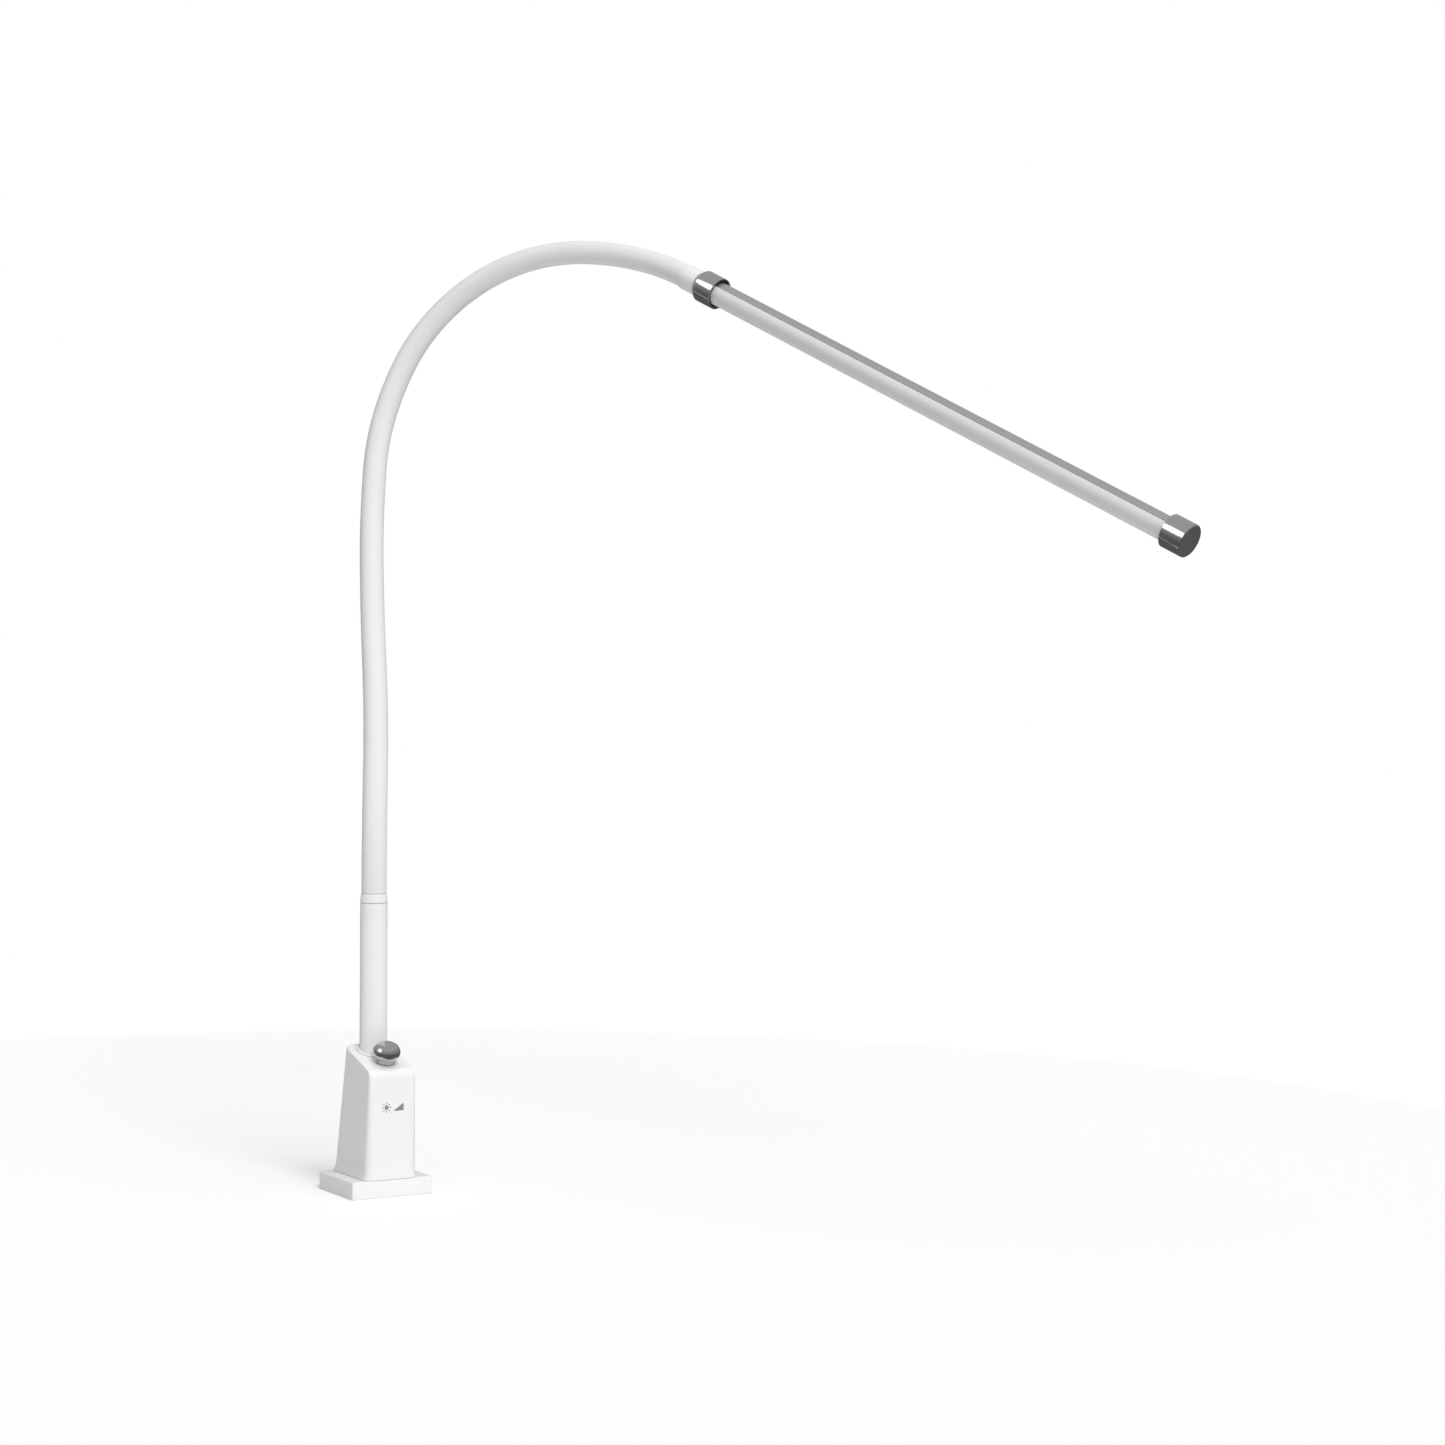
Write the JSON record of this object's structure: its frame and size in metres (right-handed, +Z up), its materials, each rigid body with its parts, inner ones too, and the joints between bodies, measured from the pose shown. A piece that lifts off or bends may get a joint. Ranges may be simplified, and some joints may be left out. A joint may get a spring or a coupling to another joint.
{
  "type": "examination lamp",
  "caption": "Examination lamp: small bolt-down foot with a dimmer knob, rigid pole, flexible sleeved gooseneck and a slim tubular LED head that turns in a chrome collar.",
  "frame": {"origin": "middle of the foot's underside", "axes": "+Z up, the housing's front and dimmer knob face -Y, +X is the lamp's right seen from the back"},
  "size_m": [0.5381, 0.6458, 0.8011],
  "materials": {
    "white_paint": "satin powder coat",
    "white_sleeve": "satin",
    "chrome": "polished",
    "aluminium": "satin anodised",
    "zinc_steel": "zinc plated",
    "brass": "turned",
    "black_rubber": "matte",
    "black_plastic": "moulded",
    "frosted_diffuser": "frosted",
    "circuit_board": "solder mask",
    "led_board_white": "solder mask",
    "led_phosphor": "silicone",
    "lead_sheath": "extruded"
  },
  "bodies": {
    "base": {"arm_lead": "lead_sheath", "board_bracket": "aluminium", "board_screw": "zinc_steel", "board_spacer": "black_plastic", "bracket_screw": "zinc_steel", "core_root": "zinc_steel", "dc_inlet": "black_plastic", "dimmer_pot": "aluminium", "driver_board": "circuit_board", "driver_choke": "zinc_steel", "fixing_insert_left": "brass", "fixing_insert_right": "brass", "foot_pad": "black_rubber", "foot_plate": "white_paint", "housing_screw": "zinc_steel", "housing_shell": "white_paint", "inlet_nut": "zinc_steel", "lead_terminal": "black_plastic", "pole_ferrule": "white_paint", "pole_grommet": "black_rubber", "pole_grub_screw": "zinc_steel", "pole_socket": "aluminium", "pole_tube": "white_paint", "pot_nut": "zinc_steel", "pot_washer": "zinc_steel", "sleeve_1": "white_sleeve", "smoothing_capacitor": "black_plastic", "socket_screw": "zinc_steel"},
    "knob": {"dimmer_knob": "chrome", "dimmer_shaft": "brass", "knob_grub_screw": "zinc_steel"},
    "link_1": {"core_1": "zinc_steel", "sleeve_2": "white_sleeve"},
    "link_2": {"core_2": "zinc_steel", "sleeve_3": "white_sleeve"},
    "link_3": {"core_3": "zinc_steel", "sleeve_4": "white_sleeve"},
    "link_4": {"core_4": "zinc_steel", "sleeve_5": "white_sleeve"},
    "link_5": {"core_5": "zinc_steel", "sleeve_6": "white_sleeve"},
    "link_6": {"core_6": "zinc_steel", "sleeve_7": "white_sleeve"},
    "link_7": {"core_7": "zinc_steel", "sleeve_8": "white_sleeve"},
    "neck": {"core_tip": "zinc_steel", "neck_ferrule": "white_paint", "swivel_nut": "zinc_steel", "swivel_stub": "zinc_steel", "swivel_washer": "black_plastic"},
    "head": {"cap_adapter": "black_plastic", "collar_grub_screw": "zinc_steel", "collar_seal": "black_rubber", "diffuser": "frosted_diffuser", "end_cap": "chrome", "head_back": "aluminium", "head_collar": "chrome", "led_board": "led_board_white", "led_connector": "black_plastic", "led_strip": "led_phosphor"}
  },
  "joints": [
    {"name": "dimmer_turn", "type": "hinge", "parent": "base", "child": "knob", "pos_m": [0, -0.017, 0.10579], "axis": [0, -0.3173, 0.9483], "range_deg": [-150, 150]},
    {"name": "gooseneck_nod_1", "type": "hinge", "parent": "base", "child": "link_1", "pos_m": [0.003, 0.01216, 0.29135], "axis": [0.8988, -0.4384, 0], "range_deg": [-25, 25], "deforming": ["sleeve_1", "arm_lead"]},
    {"name": "gooseneck_sway_2", "type": "hinge", "parent": "link_1", "child": "link_2", "pos_m": [0.02346, 0.05567, 0.38206], "axis": [0.3281, 0.7616, -0.5588], "range_deg": [-25, 25], "deforming": ["sleeve_2"]},
    {"name": "gooseneck_nod_3", "type": "hinge", "parent": "link_2", "child": "link_3", "pos_m": [0.04617, 0.11247, 0.46668], "axis": [-0.9274, 0.374, 0], "range_deg": [-25, 25], "deforming": ["sleeve_3"]},
    {"name": "gooseneck_sway_4", "type": "hinge", "parent": "link_3", "child": "link_4", "pos_m": [0.06936, 0.16535, 0.55362], "axis": [-0.3909, -0.7636, 0.5139], "range_deg": [-25, 25], "deforming": ["sleeve_4"]},
    {"name": "gooseneck_nod_5", "type": "hinge", "parent": "link_4", "child": "link_5", "pos_m": [0.09766, 0.20268, 0.64529], "axis": [0.4554, -0.8903, 0], "range_deg": [-25, 25], "deforming": ["sleeve_5"]},
    {"name": "gooseneck_sway_6", "type": "hinge", "parent": "link_5", "child": "link_6", "pos_m": [0.14524, 0.19803, 0.73345], "axis": [0.6736, -0.3279, -0.6624], "range_deg": [-25, 25], "deforming": ["sleeve_6"]},
    {"name": "gooseneck_nod_7", "type": "hinge", "parent": "link_6", "child": "link_7", "pos_m": [0.21355, 0.14856, 0.78588], "axis": [0.6532, 0.7572, 0], "range_deg": [-25, 25], "deforming": ["sleeve_7"]},
    {"name": "gooseneck_sway_8", "type": "hinge", "parent": "link_7", "child": "neck", "pos_m": [0.28298, 0.07666, 0.78306], "axis": [0.1453, -0.2103, 0.9668], "range_deg": [-25, 25], "deforming": ["sleeve_8"]},
    {"name": "head_swivel", "type": "hinge", "parent": "neck", "child": "head", "pos_m": [0.30566, 0.03498, 0.7653], "axis": [0.3367, -0.8333, -0.4384], "range_deg": [-150, 150]}
  ]
}
